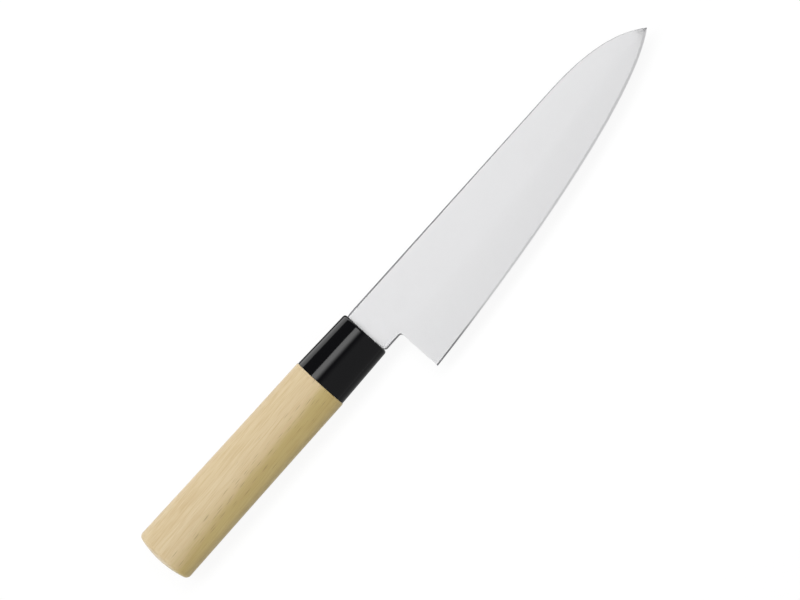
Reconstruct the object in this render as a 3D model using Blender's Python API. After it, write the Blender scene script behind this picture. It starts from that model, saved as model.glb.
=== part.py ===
# Kitchen knife with a thin double-ground blade and an oval magnolia handle.
#
# The knife lies on its left side. Its datum is the middle of the ferrule's front face:
# +X runs to the tip, +Y to the spine and +Z out of the blade's right side. An empty puts
# that datum where the finished knife has its origin under the middle of its own box.
# All sizes are in metres; a section's height is along Y and its thickness along Z.

import math

import bmesh
import bpy
import numpy
from mathutils import Vector
from mathutils.geometry import interpolate_bezier

MM = 0.001
SEAT_GAP = 0.3 * MM             # left between a piece and the piece that it seats on

# Steel: the outline seen from the side
STEEL_THICKNESS = 1.9 * MM
BLADE_REACH = 180.5 * MM        # from the handle's face to the tip
SPINE_RISE = 10.97 * MM         # spine above the handle's axis
TIP_DROP = 2.0 * MM             # tip below the axis
NECK_LENGTH = 10.25 * MM        # from the handle's face to the top of the heel
NECK_DROP = 11.65 * MM          # underside of the neck below the axis
HEEL_DROP = 32.8 * MM           # point of the heel below the axis
HEEL_LEAN = 0.1 * MM            # how far the heel's foot stands ahead of its top
CHOIL_RADIUS = 1.4 * MM
SHOULDER_RADIUS = 1.3 * MM
NECK_DIP = 0.25 * MM            # fall of the spine where it meets the handle
NECK_DIP_LENGTH = 4.0 * MM
DROP_LENGTH = 51.1 * MM         # the spine falls to the tip over this length
DROP_START_PULL = 13.2 * MM     # how long the fall keeps the spine's direction
DROP_END_PULL = 19.2 * MM
DROP_END_ANGLE = math.radians(41.0)
HEEL_PULL = 51.0 * MM           # how long the edge keeps its direction at the heel
HEEL_ANGLE = math.radians(3.6)
BELLY_PULL = 31.6 * MM
BELLY_ANGLE = math.radians(34.2)

# Steel: the grind
SPINE_EASE = 0.4 * MM           # chamfer along both edges of the spine
TAPER_LENGTH = 90.0 * MM        # the steel thins towards the tip over this length
TIP_THICKNESS = 1.0 * MM
POINT_LENGTH = 5.0 * MM         # and runs out to nothing over this one
POINT_FULLNESS = 0.6            # 1 is a straight run-out, less is a fuller one
GRIND_CROWN = 1.25              # 1 is a flat grind, more is a fuller one
SHARPENING_ANGLE = math.radians(15.0)
BEVEL_AT_HEEL = 0.5 * MM        # width of the sharpened bevel on each side
BEVEL_AT_TIP = 1.3 * MM
GRIND_ROWS = 5
BLADE_COLUMNS = 44

# Steel: the tang
TANG_LENGTH = 95.0 * MM
TANG_ROOT_HEIGHT = 13.0 * MM
TANG_END_HEIGHT = 7.0 * MM
TANG_END_RADIUS = 2.5 * MM
TANG_SIDE_CLEARANCE = 0.6 * MM  # above and below the tang, in its slot and its bedding
BEDDING_WALL = 0.6 * MM         # adhesive between the tang and the wood

# Ferrule
FERRULE_LENGTH = 29.5 * MM
FERRULE_FRONT_HEIGHT = 24.4 * MM
FERRULE_FRONT_THICKNESS = 18.4 * MM
FERRULE_REAR_HEIGHT = 26.0 * MM
FERRULE_REAR_THICKNESS = 19.7 * MM
FERRULE_WALL = 2.2 * MM
FERRULE_FRONT_WALL = 3.0 * MM
FERRULE_FRONT_ROUND = 1.2 * MM
FERRULE_REAR_EASE = 0.3 * MM

# Grip
HANDLE_LENGTH = 133.4 * MM      # ferrule and grip together
GRIP_MOUTH_HEIGHT = 26.6 * MM
GRIP_MOUTH_THICKNESS = 20.4 * MM
GRIP_MOUTH_EASE = 0.35 * MM
GRIP_BUTT_HEIGHT = 28.2 * MM
GRIP_BUTT_THICKNESS = 22.0 * MM
GRIP_FLARE = 1.5                # 1 is a straight taper, more opens faster towards the butt
FLARE_SHARES = (0.8, 0.6, 0.4, 0.2)             # rings along the taper, from the butt
BUTT_CROWN_RADIUS = 45.0 * MM
BUTT_ROUND = 2.4 * MM
CROWN_SHARES = (0.1, 0.25, 0.5, 0.75)           # rings of the crown, from its middle out
TENON_EASE = 0.5 * MM

# Sections
OVAL_FULLNESS = 2.0             # 2 is an ellipse, more is a squarer oval
SLOT_FULLNESS = 8.0             # nearly a rectangle with round corners
SECTION_POINTS = 48
ARC_STEPS = 5

MOUTH_X = -(FERRULE_LENGTH + SEAT_GAP)          # shoulder of the grip, behind the ferrule
TENON_FRONT_X = -(FERRULE_FRONT_WALL + SEAT_GAP)
HEEL_X = NECK_LENGTH + HEEL_LEAN


def clear_scene():
    for old in list(bpy.data.objects):
        bpy.data.objects.remove(old, do_unlink=True)


def make_material(name, colour, roughness, metallic=0.0):
    material = bpy.data.materials.new(name)
    material.use_nodes = True
    shader = material.node_tree.nodes["Principled BSDF"]
    shader.inputs["Base Color"].default_value = (*colour, 1.0)
    shader.inputs["Roughness"].default_value = roughness
    shader.inputs["Metallic"].default_value = metallic
    return material


def finish_object(name, mesh_builder, material, datum):
    """Turns a finished bmesh into a named object that hangs on the knife's datum."""
    mesh = bpy.data.meshes.new(name)
    mesh_builder.to_mesh(mesh)
    mesh_builder.free()
    mesh.materials.append(material)
    mesh.shade_smooth()
    mesh.set_sharp_from_angle(angle=math.radians(30.0))
    piece = bpy.data.objects.new(name, mesh)
    bpy.context.scene.collection.objects.link(piece)
    piece.parent = datum
    return piece


def quarter_turns():
    return [math.radians(90.0 * step / ARC_STEPS) for step in range(ARC_STEPS + 1)]


# The blade's outline

def curve_through(knots):
    """A Bezier stretch as two arrays, x and y, from its end points and handles."""
    start, start_handle, end_handle, end = (Vector((x, y, 0.0)) for x, y in knots)
    points = interpolate_bezier(start, start_handle, end_handle, end, 200)
    return numpy.array([p.x for p in points]), numpy.array([p.y for p in points])


DROP_CURVE = curve_through([
    (BLADE_REACH - DROP_LENGTH, SPINE_RISE),
    (BLADE_REACH - DROP_LENGTH + DROP_START_PULL, SPINE_RISE),
    (BLADE_REACH - DROP_END_PULL * math.cos(DROP_END_ANGLE),
     -TIP_DROP + DROP_END_PULL * math.sin(DROP_END_ANGLE)),
    (BLADE_REACH, -TIP_DROP),
])
EDGE_CURVE = curve_through([
    (HEEL_X, -HEEL_DROP),
    (HEEL_X + HEEL_PULL * math.cos(HEEL_ANGLE), -HEEL_DROP + HEEL_PULL * math.sin(HEEL_ANGLE)),
    (BLADE_REACH - BELLY_PULL * math.cos(BELLY_ANGLE), -TIP_DROP - BELLY_PULL * math.sin(BELLY_ANGLE)),
    (BLADE_REACH, -TIP_DROP),
])


def spine_y(x):
    if x < NECK_DIP_LENGTH:
        return SPINE_RISE - NECK_DIP * (1.0 - x / NECK_DIP_LENGTH) ** 2
    return float(numpy.interp(x, *DROP_CURVE))


def edge_y(x):
    return float(numpy.interp(x, *EDGE_CURVE))


def steel_thickness(x):
    """The steel keeps its thickness from the tang on, then thins smoothly to the point."""
    share = max(0.0, (x - (BLADE_REACH - TAPER_LENGTH)) / TAPER_LENGTH)
    point = min(1.0, (BLADE_REACH - x) / POINT_LENGTH) ** POINT_FULLNESS
    return (STEEL_THICKNESS + (TIP_THICKNESS - STEEL_THICKNESS) * share ** 2) * point


def tang_half_height(x):
    share = -x / TANG_LENGTH
    return (TANG_ROOT_HEIGHT + (TANG_END_HEIGHT - TANG_ROOT_HEIGHT) * share) / 2


# Rows of the blade's grid, from the spine down to the cutting edge. The flat side holds the
# two rows that the tang runs out of, and the grind starts at the foot of the choil's round.

SPINE_ROW, EASE_ROW, TANG_TOP_ROW, TANG_FOOT_ROW, GRIND_ROW = range(5)
BEVEL_ROW = GRIND_ROW + GRIND_ROWS
EDGE_ROW = BEVEL_ROW + 1
CHOIL_FOOT_Y = -(NECK_DROP + CHOIL_RADIUS)
FLAT_SHARE = (SPINE_RISE - CHOIL_FOOT_Y) / (SPINE_RISE + HEEL_DROP)


def tang_column(x, half_height):
    side = STEEL_THICKNESS / 2
    return {TANG_TOP_ROW: (x, half_height, side), TANG_FOOT_ROW: (x, -half_height, side)}


def neck_column(x, foot_y):
    """A column of the neck: its side is flat from the eased spine down to its underside."""
    side = STEEL_THICKNESS / 2
    column = tang_column(x, TANG_ROOT_HEIGHT / 2)
    column[SPINE_ROW] = (x, spine_y(x), side - SPINE_EASE)
    column[EASE_ROW] = (x, spine_y(x) - SPINE_EASE, side)
    column[GRIND_ROW] = (x, foot_y, side)
    return column


def blade_column(x, lean=0.0):
    """A column of the blade: eased spine, flat side, grind and sharpened bevel."""
    top, foot = spine_y(x), edge_y(x + lean)
    height = top - foot
    side = steel_thickness(x) / 2
    ease = min(SPINE_EASE, 0.2 * height, 0.5 * side)
    flat = FLAT_SHARE * height
    tang_rise = (SPINE_RISE - TANG_ROOT_HEIGHT / 2) / (SPINE_RISE - CHOIL_FOOT_Y)
    tang_fall = (SPINE_RISE + TANG_ROOT_HEIGHT / 2) / (SPINE_RISE - CHOIL_FOOT_Y)
    along = (x - NECK_LENGTH) / (BLADE_REACH - NECK_LENGTH)
    bevel = min(BEVEL_AT_HEEL + (BEVEL_AT_TIP - BEVEL_AT_HEEL) * along, 0.3 * height)
    bevel_side = min(bevel * math.tan(SHARPENING_ANGLE), 0.8 * side)
    column = {
        SPINE_ROW: (x, top, side - ease),
        EASE_ROW: (x, top - ease, side),
        TANG_TOP_ROW: (x, top - tang_rise * flat, side),
        TANG_FOOT_ROW: (x, top - tang_fall * flat, side),
    }
    for step in range(GRIND_ROWS + 1):
        share = step / GRIND_ROWS
        y = top - flat - share * (height - flat - bevel)
        z = bevel_side + (side - bevel_side) * (1.0 - share ** GRIND_CROWN)
        column[GRIND_ROW + step] = (x + lean * share, y, z)
    column[EDGE_ROW] = (x + lean, foot, 0.0)
    return column


def steel_columns():
    """All columns from the end of the tang to the last one before the tip."""
    columns = []
    for turn in quarter_turns():
        x = -TANG_LENGTH + TANG_END_RADIUS * (1.0 - math.cos(turn))
        columns.append(tang_column(x, tang_half_height(x) - TANG_END_RADIUS * (1.0 - math.sin(turn))))
    for turn in quarter_turns():
        x = SEAT_GAP + SHOULDER_RADIUS * (1.0 - math.cos(turn))
        columns.append(neck_column(x, -NECK_DROP + SHOULDER_RADIUS * (1.0 - math.sin(turn))))
    for turn in quarter_turns()[:-1]:
        x = NECK_LENGTH - CHOIL_RADIUS * (1.0 - math.sin(turn))
        columns.append(neck_column(x, -NECK_DROP - CHOIL_RADIUS * (1.0 - math.cos(turn))))
    columns.append(blade_column(NECK_LENGTH, HEEL_LEAN))
    for step in range(1, BLADE_COLUMNS):
        closing = (1.0 - step / BLADE_COLUMNS) ** 1.5
        columns.append(blade_column(BLADE_REACH - (BLADE_REACH - NECK_LENGTH) * closing))
    return columns


def make_blade(material, datum):
    """The right half of the steel as a grid, walled down to its mid plane and mirrored."""
    builder = bmesh.new()
    columns = [{row: builder.verts.new(place) for row, place in column.items()}
               for column in steel_columns()]
    for rear, front in zip(columns, columns[1:]):
        for row in range(EDGE_ROW):
            corners = [(rear, row), (rear, row + 1), (front, row + 1), (front, row)]
            if all(key in column for column, key in corners):
                builder.faces.new([column[key] for column, key in corners])
    tip = builder.verts.new((BLADE_REACH, -TIP_DROP, 0.0))
    last = columns[-1]
    for row in range(EDGE_ROW):
        builder.faces.new([last[row], last[row + 1], tip])

    rim = [edge for edge in builder.edges
           if edge.is_boundary and max(v.co.z for v in edge.verts) > 0.0]
    wall = bmesh.ops.extrude_edge_only(builder, edges=rim)["geom"]
    for item in wall:
        if isinstance(item, bmesh.types.BMVert):
            item.co.z = 0.0
    bmesh.ops.remove_doubles(builder, verts=builder.verts, dist=0.001 * MM)
    bmesh.ops.recalc_face_normals(builder, faces=builder.faces)
    if max(builder.faces, key=lambda face: face.calc_area()).normal.z < 0.0:
        bmesh.ops.reverse_faces(builder, faces=builder.faces)

    blade = finish_object("blade", builder, material, datum)
    mirror = blade.modifiers.new("left_half", "MIRROR")
    mirror.use_axis = (False, False, True)
    mirror.merge_threshold = 0.001 * MM
    return blade


# Sections of the handle, drawn along X from one to the next

def section(x, half_height, half_thickness, fullness=OVAL_FULLNESS):
    """A closed outline across the knife: an oval, or with a high fullness a slot."""
    power = 2.0 / fullness
    points = []
    for step in range(SECTION_POINTS):
        turn = 2.0 * math.pi * (step + 0.5) / SECTION_POINTS
        across, out = math.cos(turn), math.sin(turn)
        points.append((x, math.copysign(abs(across) ** power, across) * half_height,
                       math.copysign(abs(out) ** power, out) * half_thickness))
    return points


def draw_sections(sections):
    """Draws a skin from section to section by extruding its open end, and returns both ends."""
    builder = bmesh.new()
    ring = [builder.verts.new(point) for point in sections[0]]
    edges = [builder.edges.new((ring[i - 1], ring[i])) for i in range(SECTION_POINTS)]
    first = ring
    for outline in sections[1:]:
        grown = bmesh.ops.extrude_edge_only(builder, edges=edges)["geom"]
        fresh = {item for item in grown if isinstance(item, bmesh.types.BMVert)}
        ring = [next(edge.other_vert(v) for edge in v.link_edges if edge.other_vert(v) in fresh)
                for v in ring]
        edges = [builder.edges.get((ring[i - 1], ring[i])) for i in range(SECTION_POINTS)]
        for vertex, point in zip(ring, outline):
            vertex.co = point
    return builder, first, ring


def close_ends(builder, first, last):
    builder.faces.new(first)
    builder.faces.new(last)
    bmesh.ops.recalc_face_normals(builder, faces=builder.faces)


def ferrule_halves(x, inset=0.0):
    """Half height and half thickness of the ferrule's outside at x, less an inset."""
    share = -x / FERRULE_LENGTH
    height = FERRULE_FRONT_HEIGHT + (FERRULE_REAR_HEIGHT - FERRULE_FRONT_HEIGHT) * share
    thickness = FERRULE_FRONT_THICKNESS + (FERRULE_REAR_THICKNESS - FERRULE_FRONT_THICKNESS) * share
    return height / 2 - inset, thickness / 2 - inset


def grip_halves(x, inset=0.0):
    share = max(0.0, (x - MOUTH_X) / (-HANDLE_LENGTH - MOUTH_X)) ** GRIP_FLARE
    height = GRIP_MOUTH_HEIGHT + (GRIP_BUTT_HEIGHT - GRIP_MOUTH_HEIGHT) * share
    thickness = GRIP_MOUTH_THICKNESS + (GRIP_BUTT_THICKNESS - GRIP_MOUTH_THICKNESS) * share
    return height / 2 - inset, thickness / 2 - inset


def slot_halves(x, wall):
    """Half height and half thickness of a slot that stands off the tang by a wall all round."""
    return (tang_half_height(x) + TANG_SIDE_CLEARANCE + wall,
            STEEL_THICKNESS / 2 + SEAT_GAP + wall)


def make_ferrule(material, datum):
    """A moulded cap: tapered oval outside, even wall, and a slot for the tang in its front."""
    sections = [
        section(-FERRULE_LENGTH, *ferrule_halves(-FERRULE_LENGTH, FERRULE_WALL)),
        section(-FERRULE_LENGTH, *ferrule_halves(-FERRULE_LENGTH, FERRULE_REAR_EASE)),
        section(-FERRULE_LENGTH + FERRULE_REAR_EASE, *ferrule_halves(-FERRULE_LENGTH + FERRULE_REAR_EASE)),
    ]
    for turn in quarter_turns():
        x = -FERRULE_FRONT_ROUND * (1.0 - math.sin(turn))
        sections.append(section(x, *ferrule_halves(x, FERRULE_FRONT_ROUND * (1.0 - math.cos(turn)))))
    sections += [
        section(0.0, *slot_halves(0.0, 0.0), SLOT_FULLNESS),
        section(-FERRULE_FRONT_WALL, *slot_halves(0.0, 0.0), SLOT_FULLNESS),
        section(-FERRULE_FRONT_WALL, *ferrule_halves(-FERRULE_FRONT_WALL, FERRULE_WALL)),
    ]
    builder, bore_rear, bore_floor = draw_sections(sections)
    for i in range(SECTION_POINTS):
        builder.faces.new([bore_rear[i - 1], bore_rear[i], bore_floor[i], bore_floor[i - 1]])
    bmesh.ops.recalc_face_normals(builder, faces=builder.faces)
    return finish_object("ferrule", builder, material, datum)


def butt_sections():
    """The crowned butt, from a small face at its middle out to the straight side."""
    half_height = GRIP_BUTT_HEIGHT / 2
    lean = math.asin((half_height - BUTT_ROUND) / (BUTT_CROWN_RADIUS - BUTT_ROUND))
    crown_edge = BUTT_CROWN_RADIUS * math.sin(lean)
    crown_sag = BUTT_CROWN_RADIUS * (1.0 - math.cos(lean))
    crown_inset = half_height - crown_edge
    sections = []
    for share in CROWN_SHARES:
        sag = BUTT_CROWN_RADIUS - math.sqrt(BUTT_CROWN_RADIUS ** 2 - (share * crown_edge) ** 2)
        high, thick = grip_halves(-HANDLE_LENGTH, crown_inset)
        sections.append(section(-HANDLE_LENGTH + sag, high * share, thick * share))
    for step in range(ARC_STEPS + 1):
        turn = lean + (math.pi / 2 - lean) * step / ARC_STEPS
        x = -HANDLE_LENGTH + crown_sag + BUTT_ROUND * (math.cos(lean) - math.cos(turn))
        sections.append(section(x, *grip_halves(x, BUTT_ROUND * (1.0 - math.sin(turn)))))
    return sections


def make_grip(material, datum):
    """The wood: crowned butt, tapered oval, shoulder, tenon for the ferrule and tang slot."""
    slot_wall = BEDDING_WALL + SEAT_GAP
    slot_end = -(TANG_LENGTH + SEAT_GAP + slot_wall)
    tenon_inset = FERRULE_WALL + SEAT_GAP
    flare = [MOUTH_X + (-HANDLE_LENGTH - MOUTH_X) * share for share in FLARE_SHARES]
    builder, butt, slot_floor = draw_sections(butt_sections() + [
        *[section(x, *grip_halves(x)) for x in flare],
        section(MOUTH_X - GRIP_MOUTH_EASE, *grip_halves(MOUTH_X - GRIP_MOUTH_EASE)),
        section(MOUTH_X, *grip_halves(MOUTH_X, GRIP_MOUTH_EASE)),
        section(MOUTH_X, *ferrule_halves(-FERRULE_LENGTH, tenon_inset)),
        section(TENON_FRONT_X - TENON_EASE, *ferrule_halves(TENON_FRONT_X - TENON_EASE, tenon_inset)),
        section(TENON_FRONT_X, *ferrule_halves(TENON_FRONT_X, tenon_inset + TENON_EASE)),
        section(TENON_FRONT_X, *slot_halves(TENON_FRONT_X, slot_wall), SLOT_FULLNESS),
        section(slot_end, *slot_halves(slot_end, slot_wall), SLOT_FULLNESS),
    ])
    close_ends(builder, butt, slot_floor)
    return finish_object("grip", builder, material, datum)


def make_bedding(material, datum):
    """The cured adhesive: a blind sleeve that fills the slot round the tang."""
    pocket_end = -(TANG_LENGTH + SEAT_GAP)
    sleeve_end = pocket_end - BEDDING_WALL
    builder, outside, pocket = draw_sections([
        section(sleeve_end, *slot_halves(sleeve_end, BEDDING_WALL), SLOT_FULLNESS),
        section(TENON_FRONT_X, *slot_halves(TENON_FRONT_X, BEDDING_WALL), SLOT_FULLNESS),
        section(TENON_FRONT_X, *slot_halves(TENON_FRONT_X, 0.0), SLOT_FULLNESS),
        section(pocket_end, *slot_halves(pocket_end, 0.0), SLOT_FULLNESS),
    ])
    close_ends(builder, outside, pocket)
    return finish_object("tang_bedding", builder, material, datum)


def make_datum():
    """The empty that carries every piece and centres the knife's box over the origin."""
    datum = bpy.data.objects.new("knife_datum", None)
    bpy.context.scene.collection.objects.link(datum)
    widest = max(point[1] for outline in butt_sections() for point in outline)
    thickest = max(point[2] for outline in butt_sections() for point in outline)
    datum.location = ((HANDLE_LENGTH - BLADE_REACH) / 2, (HEEL_DROP - widest) / 2, thickest)
    return datum


def main():
    clear_scene()
    datum = make_datum()
    make_blade(make_material("satin_stainless_steel", (0.76, 0.76, 0.76), 0.32, 1.0), datum)
    make_ferrule(make_material("black_moulded_resin", (0.008, 0.008, 0.009), 0.18), datum)
    make_grip(make_material("magnolia_wood", (0.67, 0.54, 0.34), 0.55), datum)
    make_bedding(make_material("cured_epoxy", (0.62, 0.52, 0.33), 0.4), datum)


main()
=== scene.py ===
# Kitchen knife with a thin double-ground blade and an oval magnolia handle: its visible surfaces.
#
# The knife lies on its left side with its tip towards +X and its spine towards +Y. Each piece
# is modelled about the middle of the ferrule's front face, and then moved to its place over
# its solid in the frame. All sizes are in metres.

import math

import bmesh
import bpy
from mathutils import Euler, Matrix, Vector
from mathutils.geometry import interpolate_bezier


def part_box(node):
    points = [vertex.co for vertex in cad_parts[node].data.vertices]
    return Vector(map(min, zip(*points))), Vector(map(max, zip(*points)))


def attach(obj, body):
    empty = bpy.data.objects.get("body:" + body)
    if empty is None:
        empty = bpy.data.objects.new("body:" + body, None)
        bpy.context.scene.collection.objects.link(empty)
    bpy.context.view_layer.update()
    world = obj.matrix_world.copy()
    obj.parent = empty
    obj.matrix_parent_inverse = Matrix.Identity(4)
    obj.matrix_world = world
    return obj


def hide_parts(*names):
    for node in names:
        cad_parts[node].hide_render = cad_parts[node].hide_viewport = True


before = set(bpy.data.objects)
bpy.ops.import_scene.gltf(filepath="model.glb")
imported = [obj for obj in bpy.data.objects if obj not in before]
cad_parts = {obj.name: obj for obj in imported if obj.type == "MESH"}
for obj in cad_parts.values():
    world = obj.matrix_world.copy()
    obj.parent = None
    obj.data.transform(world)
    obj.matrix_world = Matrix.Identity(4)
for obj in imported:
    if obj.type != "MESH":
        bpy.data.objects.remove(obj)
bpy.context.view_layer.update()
bpy.ops.object.select_all(action="DESELECT")

MM = 0.001

# Camera
# The view is square on to the blade's right side. The knife's axis climbs at 48 degrees
# across the picture, and one pixel of the 800 by 600 picture is 0.4348 mm of the knife.

DATUM = Vector((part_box("ferrule")[1].x,                         # the ferrule's front face
                sum(corner.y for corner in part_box("grip")) / 2,
                sum(corner.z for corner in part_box("blade")) / 2))
DATUM_PIXEL = (365.78, 333.0)
PICTURE_PIXELS = (800, 600)
PIXEL = 0.4348 * MM
KNIFE_CLIMB = math.radians(48.0)
CAMERA_HEIGHT = 1.6

picture_right = Vector((math.cos(KNIFE_CLIMB), -math.sin(KNIFE_CLIMB), 0.0))
picture_up = Vector((math.sin(KNIFE_CLIMB), math.cos(KNIFE_CLIMB), 0.0))
aim = (DATUM + picture_right * (PICTURE_PIXELS[0] / 2 - DATUM_PIXEL[0]) * PIXEL
       - picture_up * (PICTURE_PIXELS[1] / 2 - DATUM_PIXEL[1]) * PIXEL)

bpy.ops.object.camera_add(location=aim + Vector((0.0, 0.0, CAMERA_HEIGHT)),
                          rotation=(0.0, 0.0, -KNIFE_CLIMB))
camera = bpy.context.object
camera.name = "camera"
camera.data.sensor_width = 36.0
camera.data.lens = camera.data.sensor_width * CAMERA_HEIGHT / (PICTURE_PIXELS[0] * PIXEL)
camera.data.clip_start, camera.data.clip_end = 0.05, 20.0
bpy.context.scene.camera = camera
bpy.context.scene.view_settings.view_transform = "Standard"


# Floor and light
# A plain white studio floor under one long soft box, which hangs over the spine's side of the
# knife. The camera sees floor and backdrop as white, with the knife's shadow. Gloss shows the
# floor overlit on the spine's side and shaded elsewhere, and only the soft box's middle.

def linear(hex_code):
    """A colour written as sRGB hex, turned to the linear values that a shader takes."""
    parts = [int(hex_code[i:i + 2], 16) / 255.0 for i in (1, 3, 5)]
    return (*(p / 12.92 if p <= 0.04045 else ((p + 0.055) / 1.055) ** 2.4 for p in parts), 1.0)


def add_node(tree, kind, settings=None, inputs=None):
    """Adds a node, sets its options, and fills or links its input sockets."""
    node = tree.nodes.new(kind)
    for name, value in (settings or {}).items():
        setattr(node, name, value)
    for socket, value in (inputs or {}).items():
        if isinstance(value, bpy.types.NodeSocket):
            tree.links.new(value, node.inputs[socket])
        else:
            node.inputs[socket].default_value = value
    return node


FLOOR_SIZE = 16.0
FLOOR_HEIGHT = -0.03 * MM
FLOOR_GLOW = 0.9                # share of plain white in what the camera sees of the floor
SHADED_GLOW = 0.45              # what gloss sees of it at the knife, where 1 is white,
NEAR_GLOW = 0.08                # close to the spine, where it is darkest,
LIT_GLOW = 2.4                  # and further out, for the ferrule's bright upper rim
SHADED_TO, NEAR_FROM, NEAR_TO, LIT_FROM = (y * MM for y in (10.0, 16.0, 32.0, 42.0))

bpy.ops.mesh.primitive_plane_add(size=FLOOR_SIZE, location=(0.0, 0.0, FLOOR_HEIGHT))
bpy.ops.object.transform_apply(location=True)
floor = bpy.context.object
floor.name = "studio_floor"

floor_paper = bpy.data.materials.new("matt_white_paper")
floor_paper.use_nodes = True
tree = floor_paper.node_tree
tree.nodes.clear()
ray = add_node(tree, "ShaderNodeLightPath")
glow = add_node(tree, "ShaderNodeMath", {"operation": "MULTIPLY"},
                {0: ray.outputs["Is Camera Ray"], 1: FLOOR_GLOW})
paper = add_node(tree, "ShaderNodeBsdfDiffuse", None, {"Color": linear("#FFFFFF")})
white = add_node(tree, "ShaderNodeEmission", None, {"Color": linear("#FFFFFF"), "Strength": 1.0})
seen = add_node(tree, "ShaderNodeMixShader", None,
                {0: glow.outputs[0], 1: paper.outputs[0], 2: white.outputs[0]})
mirrored = add_node(tree, "ShaderNodeMath", {"operation": "MAXIMUM"},
                    {0: ray.outputs["Is Glossy Ray"], 1: ray.outputs["Is Transmission Ray"]})
place = add_node(tree, "ShaderNodeTexCoord")
spot = add_node(tree, "ShaderNodeSeparateXYZ", None, {0: place.outputs["Object"]})
near = add_node(tree, "ShaderNodeMapRange", {"interpolation_type": "SMOOTHSTEP"},
                {"Value": spot.outputs["Y"], "From Min": SHADED_TO, "From Max": NEAR_FROM,
                 "To Min": SHADED_GLOW, "To Max": NEAR_GLOW})
level = add_node(tree, "ShaderNodeMapRange", {"interpolation_type": "SMOOTHSTEP"},
                 {"Value": spot.outputs["Y"], "From Min": NEAR_TO, "From Max": LIT_FROM,
                  "To Min": near.outputs["Result"], "To Max": LIT_GLOW})
bright = add_node(tree, "ShaderNodeEmission", None,
                  {"Color": linear("#FFFFFF"), "Strength": level.outputs["Result"]})
mix = add_node(tree, "ShaderNodeMixShader", None,
               {0: mirrored.outputs[0], 1: seen.outputs[0], 2: bright.outputs[0]})
add_node(tree, "ShaderNodeOutputMaterial", None, {"Surface": mix.outputs[0]})
floor.data.materials.append(floor_paper)

HORIZON_FOOT, HORIZON_TOP = 0.01, 0.05          # the white backdrop, as shares of the way up
EDGE_SIDE_LEVEL, SPINE_SIDE_LEVEL = 0.51, 0.135  # the ceiling over either side of the knife
CEILING_SPREAD = 0.15
BUTT_FILL, FILL_FROM, FILL_TO = 1.1, -0.5, -0.95       # more light from the butt's end
world = bpy.data.worlds.new("studio")
world.use_nodes = True
tree = world.node_tree
tree.nodes.clear()
way = add_node(tree, "ShaderNodeTexCoord")
rise = add_node(tree, "ShaderNodeSeparateXYZ", None, {0: way.outputs["Generated"]})
ceiling = add_node(tree, "ShaderNodeMapRange", {"interpolation_type": "SMOOTHSTEP"},
                   {"Value": rise.outputs["Y"], "From Min": -CEILING_SPREAD, "From Max": CEILING_SPREAD,
                    "To Min": EDGE_SIDE_LEVEL, "To Max": SPINE_SIDE_LEVEL})
fill = add_node(tree, "ShaderNodeMapRange", {"interpolation_type": "SMOOTHSTEP"},
                {"Value": rise.outputs["X"], "From Min": FILL_FROM, "From Max": FILL_TO,
                 "To Min": ceiling.outputs["Result"], "To Max": BUTT_FILL})
level = add_node(tree, "ShaderNodeMapRange", {"interpolation_type": "SMOOTHSTEP"},
                 {"Value": rise.outputs["Z"], "From Min": HORIZON_FOOT, "From Max": HORIZON_TOP,
                  "To Min": 1.0, "To Max": fill.outputs["Result"]})
ray = add_node(tree, "ShaderNodeLightPath")
level = add_node(tree, "ShaderNodeMath", {"operation": "MAXIMUM"},
                 {0: level.outputs["Result"], 1: ray.outputs["Is Camera Ray"]})
walls = add_node(tree, "ShaderNodeBackground", None,
                 {"Color": linear("#FFFFFF"), "Strength": level.outputs[0]})
add_node(tree, "ShaderNodeOutputWorld", None, {"Surface": walls.outputs[0]})
bpy.context.scene.world = world

SOFTBOX_LEAN = math.radians(23.0)       # from overhead towards the spine's side
SOFTBOX_DISTANCE = 1.2
SOFTBOX_LENGTH, SOFTBOX_WIDTH = 1.2, 0.55
SOFTBOX_POWER = 11.1
SOFTBOX_FADE = 0.30             # it is dimmer towards its edge nearer overhead, over this width
FILL_LENGTH, FILL_POWER = 2.8, 18.2     # the soft box's whole length, which gloss doesn't show
overhead = DATUM + Vector((0.0, math.sin(SOFTBOX_LEAN), math.cos(SOFTBOX_LEAN))) * SOFTBOX_DISTANCE
bpy.ops.object.light_add(type="AREA", rotation=(-SOFTBOX_LEAN, 0.0, 0.0), location=overhead)
softbox = bpy.context.object
softbox.name = "softbox"
softbox.data.shape = "RECTANGLE"
softbox.data.size, softbox.data.size_y = SOFTBOX_LENGTH, SOFTBOX_WIDTH
softbox.data.energy = SOFTBOX_POWER
softbox.data.use_nodes = True
tree = softbox.data.node_tree
inner_y = overhead.y - SOFTBOX_WIDTH / 2 * math.cos(SOFTBOX_LEAN)
place = add_node(tree, "ShaderNodeNewGeometry")
spot = add_node(tree, "ShaderNodeSeparateXYZ", None, {0: place.outputs["Position"]})
fade = add_node(tree, "ShaderNodeMapRange", {"interpolation_type": "SMOOTHSTEP"},
                {"Value": spot.outputs["Y"], "From Min": inner_y, "From Max": inner_y + SOFTBOX_FADE})
tree.links.new(fade.outputs["Result"], tree.nodes["Emission"].inputs["Strength"])

bpy.ops.object.duplicate()
fill_light = bpy.context.object
fill_light.name = "softbox_fill"
fill_light.data.size, fill_light.data.energy = FILL_LENGTH, FILL_POWER
fill_light.visible_glossy = False


# Blade
# One piece of stainless steel: blade, neck and hidden tang. It is blanked from sheet, ground
# alike on both sides with a slight crown, satin finished and sharpened with a narrow bevel.

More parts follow.
